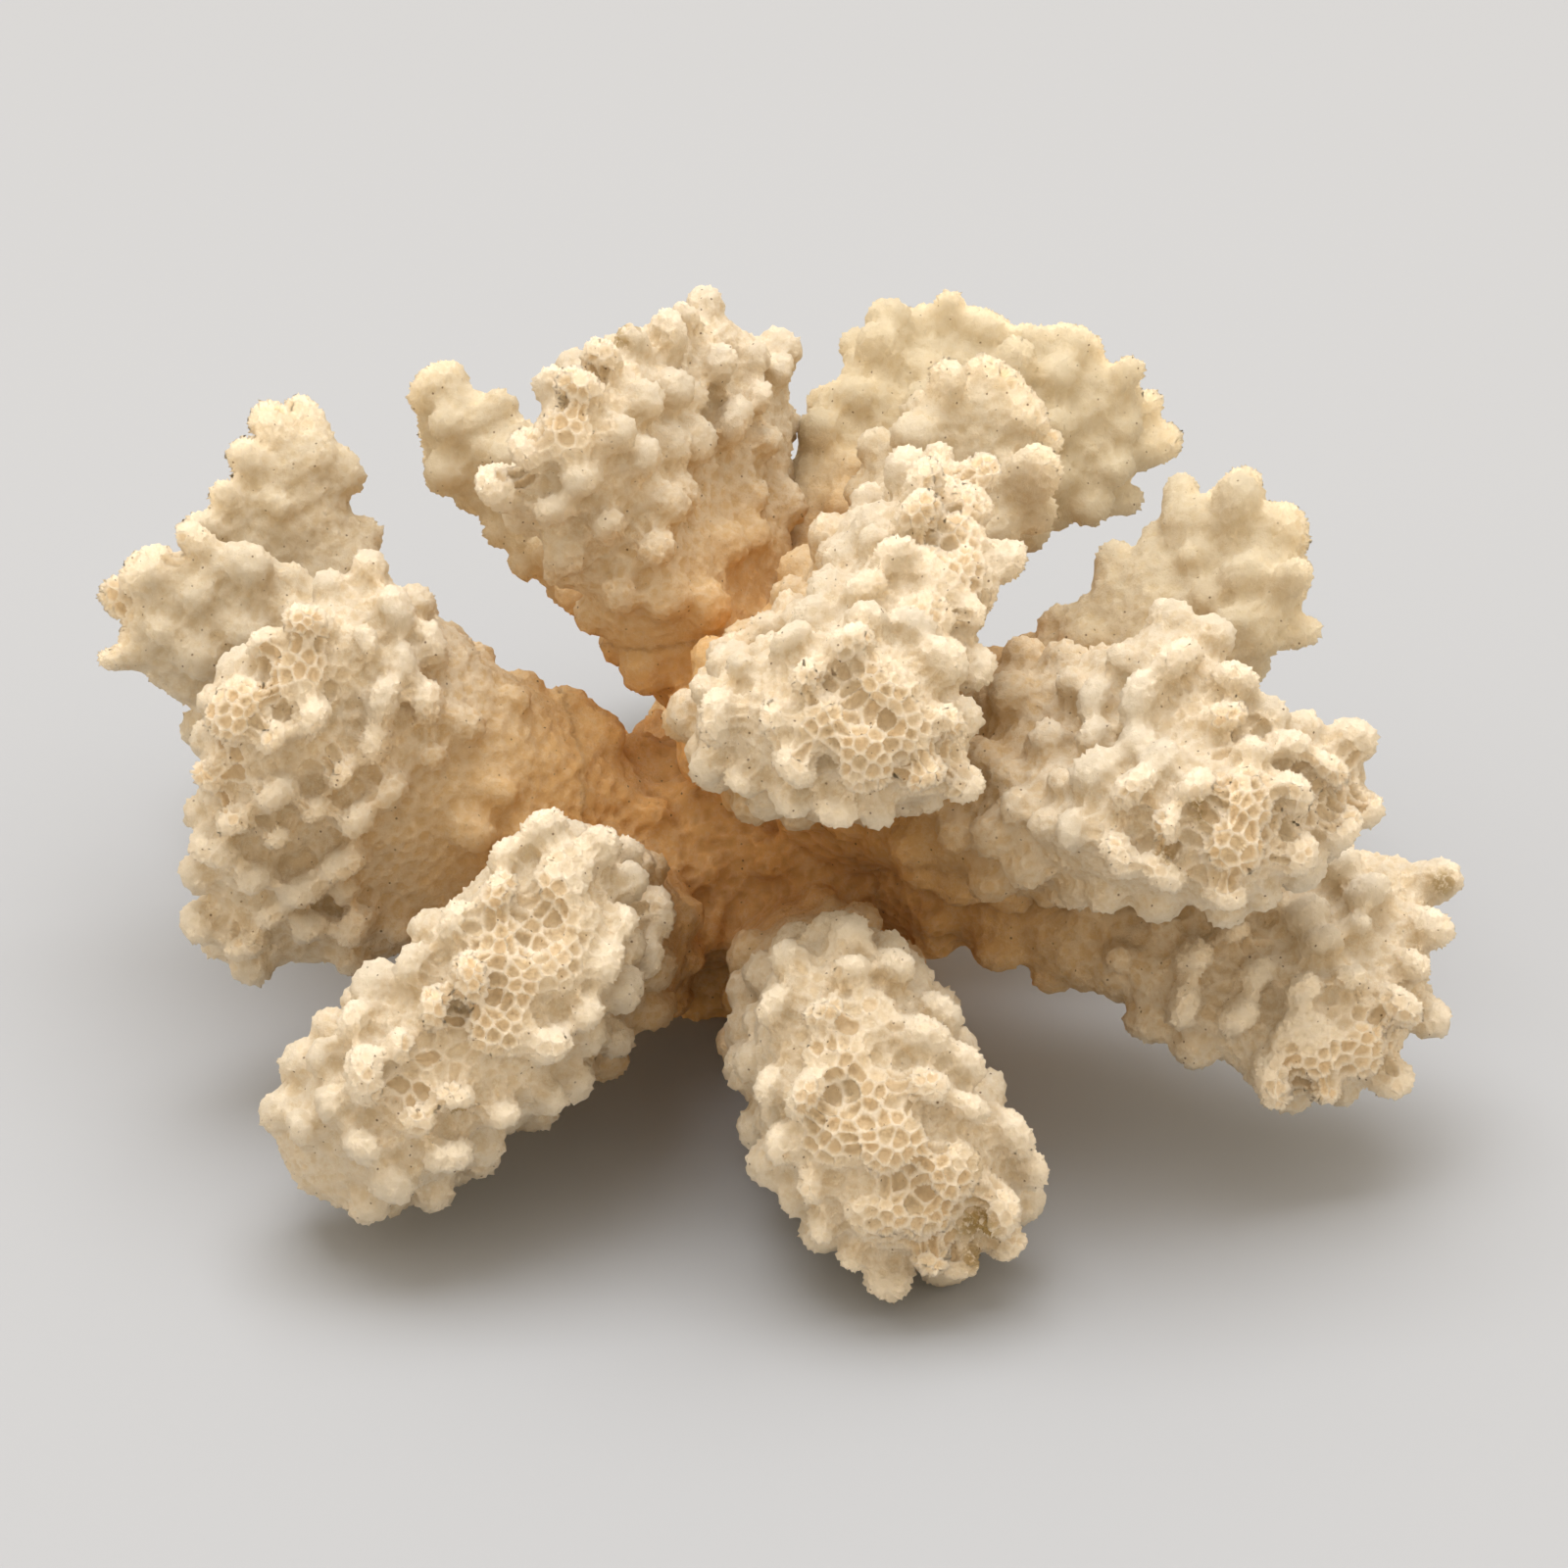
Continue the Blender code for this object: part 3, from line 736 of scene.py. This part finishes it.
class Nodes:
    """A short way to build a material's nodes."""

    def __init__(self, tree):
        self.tree = tree

    def add(self, kind, inputs=None, **settings):
        node = self.tree.nodes.new(kind)
        for key, value in settings.items():
            setattr(node, key, value)
        for key, value in (inputs or {}).items():
            if isinstance(value, bpy.types.NodeSocket):
                self.tree.links.new(value, node.inputs[key])
            else:
                node.inputs[key].default_value = value
        return node

    def attribute(self, name):
        return self.add("ShaderNodeAttribute", attribute_name=name).outputs["Fac"]

    def ramp(self, value, low, high, start=0.0, end=1.0):
        node = self.add(
            "ShaderNodeMapRange",
            {"Value": value, "From Min": low, "From Max": high, "To Min": start, "To Max": end},
            interpolation_type="SMOOTHSTEP",
        )
        return node.outputs["Result"]

    def maths(self, operation, *values):
        return self.add("ShaderNodeMath", dict(enumerate(values)), operation=operation).outputs[0]

    def mix(self, factor, a, b, blend="MIX"):
        node = self.add("ShaderNodeMix", {"Factor": factor}, data_type="RGBA", blend_type=blend)
        for socket, value in ((node.inputs[6], a), (node.inputs[7], b)):
            if isinstance(value, bpy.types.NodeSocket):
                self.tree.links.new(value, socket)
            else:
                socket.default_value = (*value, 1.0)
        return node.outputs[2]

    def noise(self, place, scale, detail=2.0, roughness=0.5):
        inputs = {"Vector": place, "Scale": scale, "Detail": detail, "Roughness": roughness}
        return self.add("ShaderNodeTexNoise", inputs).outputs["Fac"]

    def parts(self, kind, socket, value):
        """The outputs of a node that takes a colour or a place apart."""
        return self.add(kind, {socket: value}).outputs


def coral_material():
    material = bpy.data.materials.new("coral_skeleton")
    material.use_nodes = True
    tree = material.node_tree
    shader = tree.nodes["Principled BSDF"]
    n = Nodes(tree)
    place = n.add("ShaderNodeTexCoord").outputs["Object"]
    wall, raised, opened, reach = (n.attribute(name) for name in ("wall", "raised", "open", "reach"))
    height, mood, pit, stain = (n.attribute(name) for name in ("height", "mood", "pit", "stain"))

    # White tips and walls, cream faces, orange tan towards the trunk: the skeleton's own tones, with painted
    # light on the tips and walls and painted shade in the hollows and on the trunk
    clouds = n.noise(place, 130.0, 2.0)
    inner = n.ramp(reach, 0.5, 1.0)
    high = n.ramp(height, 0.3, 2.4)
    # Partly the skeleton's own tones, partly painted light and shade: the trunk a deeper orange tan as
    # painted warm shade under the lobes, the growing edges whiter as painted light
    trunk = n.mix(clouds, (0.90, 0.55, 0.20), (0.94, 0.61, 0.26))
    face = n.mix(clouds, (0.79, 0.57, 0.31), (0.85, 0.64, 0.38))
    rim = n.mix(clouds, (0.89, 0.78, 0.59), (0.92, 0.83, 0.67))
    colour = n.mix(n.ramp(reach, 0.15, 0.6), trunk, face)
    colour = n.mix(inner, colour, rim)
    # Painted light: the tops of the warts whiter the higher they stand, most on the growing edges
    high = n.maths("MULTIPLY", high, n.maths("MULTIPLY_ADD", inner, 0.7, 0.25))
    colour = n.mix(high, colour, (0.94, 0.87, 0.74))
    # Painted shade: a darker tan low between the warts, outside the open cups
    painted_cleft_shade = n.maths("MULTIPLY", n.ramp(height, 1.3, 0.1), n.maths("SUBTRACT", 1.0, opened))
    colour = n.mix(n.maths("MULTIPLY", painted_cleft_shade, 0.35), colour, (0.82, 0.63, 0.38))
    frost = n.ramp(n.noise(place, 1500.0, 4.0, 0.8), 0.45, 0.6)
    frost = n.maths("MULTIPLY", frost, n.maths("MULTIPLY_ADD", inner, 0.5, 0.22))
    colour = n.mix(frost, colour, (0.98, 0.91, 0.78))
    clear = n.ramp(n.noise(place, 900.0, 3.0, 0.7), 0.55, 0.75, 0.0, 0.25)
    colour = n.mix(clear, colour, (0.80, 0.67, 0.46))
    # Painted shade: the floors of the open cups a darker tan than their walls, varied from cup to cup
    floor = n.maths("MULTIPLY", n.ramp(wall, 0.04, 0.14), opened)
    cup = n.mix(mood, (0.76, 0.58, 0.36), (0.90, 0.77, 0.56))
    colour = n.mix(n.maths("MULTIPLY", floor, 0.8), colour, cup)
    # Partly the pale lines of the walls between closed cups, partly painted highlight: the tops of the raised
    # walls of the open cups whiter
    edge = n.ramp(wall, 0.09, 0.02)
    faint = n.maths("MULTIPLY", n.ramp(wall, 0.26, 0.06), n.ramp(reach, 0.35, 0.7, 0.0, 0.45))
    wall_lines_and_painted_highlight = n.maths("MULTIPLY", edge, n.maths("MULTIPLY", raised, 0.8))
    wall_lines_and_painted_highlight = n.maths("MAXIMUM", wall_lines_and_painted_highlight, n.maths("MULTIPLY", faint, n.maths("SUBTRACT", 1.0, opened)))
    colour = n.mix(wall_lines_and_painted_highlight, colour, (0.98, 0.90, 0.78))
    # Painted shade: the pits on the trunk a dark brown
    colour = n.mix(n.maths("MULTIPLY", pit, 0.5), colour, (0.60, 0.35, 0.13))

    # Painted light: the thin lobes at the back yellower, a painted glow of the light behind them; painted
    # shade: all of it darker, and warmer towards the trunk
    glow = n.attribute("glow")
    colour = n.mix(n.maths("MULTIPLY", glow, 0.6), colour, (0.74, 0.65, 0.45))
    # Painted shade: darker on the growing edges and warmer towards the trunk, for the warm shade under the
    # lobes
    shade = n.mix(n.ramp(reach, 0.2, 0.7), (0.97, 0.87, 0.72), (0.83, 0.79, 0.72))
    colour = n.mix(1.0, colour, shade, "MULTIPLY")

    # Fine dark specks and brown patches
    specks = n.add("ShaderNodeTexVoronoi", {"Vector": place, "Scale": 1500.0, "Randomness": 1.0})
    lone = n.ramp(specks.outputs["Distance"], 0.17, 0.06)
    some = n.parts("ShaderNodeSeparateColor", "Color", specks.outputs["Color"])[0]
    some = n.ramp(some, 0.5, 0.85)
    colour = n.mix(n.maths("MULTIPLY", n.maths("MULTIPLY", lone, some), 0.85), colour, (0.16, 0.09, 0.04))
    blotch = n.maths("MULTIPLY", stain, n.ramp(n.noise(place, 2000.0, 3.0, 0.6), 0.38, 0.52))
    colour = n.mix(blotch, colour, (0.38, 0.25, 0.07))
    tree.links.new(colour, shader.inputs["Base Color"])

    grain = n.noise(place, 2000.0, 5.0, 0.75)
    bump = n.add("ShaderNodeBump", {"Height": grain, "Strength": 1.0, "Distance": 0.34 * MM})
    tree.links.new(bump.outputs["Normal"], shader.inputs["Normal"])
    shader.inputs["Roughness"].default_value = 0.6
    shader.inputs["Specular IOR Level"].default_value = 0.35
    shader.subsurface_method = "BURLEY"
    shader.inputs["Subsurface Weight"].default_value = 0.7
    shader.inputs["Subsurface Radius"].default_value = (1.0, 0.94, 0.88)
    tree.links.new(n.maths("MULTIPLY_ADD", glow, 1.6 * MM, 1.15 * MM), shader.inputs["Subsurface Scale"])
    return material


def make_coral():
    random = np.random.default_rng(5)
    forms = Forms()
    wart_places, wart_shapes, wart_owners = grow_warts(forms, random)
    ball, tongue = unit_ball(2, 2.0), unit_ball(3, 2.8)
    round_shapes = np.eye(3)[None] * forms.radii[:, None, None]
    rough = fused(
        mesh_of_shapes([(ball, forms.centres, round_shapes), (tongue, wart_places, wart_shapes)]),
        ROUGH_GRAIN,
    )
    cups = Cups(places_of(rough), places_of(rough, "normal"), forms, random)
    bpy.data.meshes.remove(rough)
    material = coral_material()
    names = list(LOBES)
    for name, planes in cut_planes().items():
        allowed = list(range(-1, len(names))) if name == "trunk" else [-1, names.index(name)]
        near_ball = np.isin(forms.owners, allowed)
        near_wart = np.isin(wart_owners, allowed)
        for place, outward in planes:
            near_ball &= (forms.centres - place) @ outward - forms.radii < BALL_MARGIN
            near_wart &= (wart_places - place) @ outward < WART_MARGIN
        mesh = mesh_of_shapes(
            [
                (ball, forms.centres[near_ball], round_shapes[near_ball]),
                (tongue, wart_places[near_wart], wart_shapes[near_wart]),
            ]
        )
        mesh = fused(mesh, GRAIN.get(name, USUAL_GRAIN))
        places = places_of(mesh)
        prepare_skin(mesh, forms.near(places.min(0), places.max(0)))
        carve_cups(mesh, cups, random)
        set_attribute(mesh, "glow", GLOW.get(name, 0.0) * smooth(0.3, 0.7, get_attribute(mesh, "reach")))
        cut_piece(mesh, planes)
        mesh.name = name + "_skin"
        mesh.materials.clear()
        mesh.materials.append(material)
        piece = bpy.data.objects.new(name + "_skin", mesh)
        bpy.context.scene.collection.objects.link(piece)
        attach(piece, BODY)
        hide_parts(name)


def make_floor():
    bm = bmesh.new()
    bmesh.ops.create_grid(bm, x_segments=2, y_segments=2, size=2.0)
    mesh = bpy.data.meshes.new("floor")
    bm.to_mesh(mesh)
    bm.free()
    floor = bpy.data.objects.new("floor", mesh)
    bpy.context.scene.collection.objects.link(floor)
    material = bpy.data.materials.new("floor_paper")
    material.use_nodes = True
    tree = material.node_tree
    n = Nodes(tree)
    place = n.add("ShaderNodeTexCoord").outputs["Object"]
    tone = n.mix(n.noise(place, 6.0, 2.0), (0.462, 0.477, 0.500), (0.480, 0.495, 0.518))
    shader = tree.nodes["Principled BSDF"]
    tree.links.new(tone, shader.inputs["Base Color"])
    shader.inputs["Roughness"].default_value = 0.7
    shader.inputs["Specular IOR Level"].default_value = 0.2
    mesh.materials.append(material)


def add_area_light(name, place, target, size, power, colour):
    data = bpy.data.lights.new(name, "AREA")
    data.shape = "RECTANGLE"
    data.size, data.size_y = size
    data.energy = power
    data.color = colour
    light = bpy.data.objects.new(name, data)
    light.location = place
    light.rotation_euler = (Vector(target) - Vector(place)).to_track_quat("-Z", "Y").to_euler()
    bpy.context.scene.collection.objects.link(light)


def make_studio():
    world = bpy.data.worlds.new("studio")
    bpy.context.scene.world = world
    world.use_nodes = True
    n = Nodes(world.node_tree)
    background = world.node_tree.nodes["Background"]
    direction = n.add("ShaderNodeTexCoord").outputs["Generated"]
    up = n.parts("ShaderNodeSeparateXYZ", "Vector", direction)["Z"]
    sky = n.mix(n.ramp(up, 0.1, 0.8), (1.0, 0.79, 0.52), (0.95, 0.9, 0.83))
    world.node_tree.links.new(sky, background.inputs["Color"])
    background.inputs["Strength"].default_value = 0.92
    add_area_light("overhead", (-0.03, 0.1, 0.85), (0, 0.02, 0), (0.8, 0.66), 5.5, (0.99, 1.0, 1.03))
    camera_data = bpy.data.cameras.new("camera")
    camera_data.lens = 131.7
    camera_data.sensor_width = 36.0
    camera_data.clip_start = 0.02
    camera = bpy.data.objects.new("camera", camera_data)
    camera.location = (0.002, -0.3436, 0.1882)
    view = Vector((0.002, -0.005, 0.0157)) - camera.location
    camera.rotation_euler = view.to_track_quat("-Z", "Y").to_euler()
    bpy.context.scene.collection.objects.link(camera)
    bpy.context.scene.camera = camera
    bpy.context.scene.view_settings.view_transform = "Standard"


make_studio()
make_floor()
make_coral()
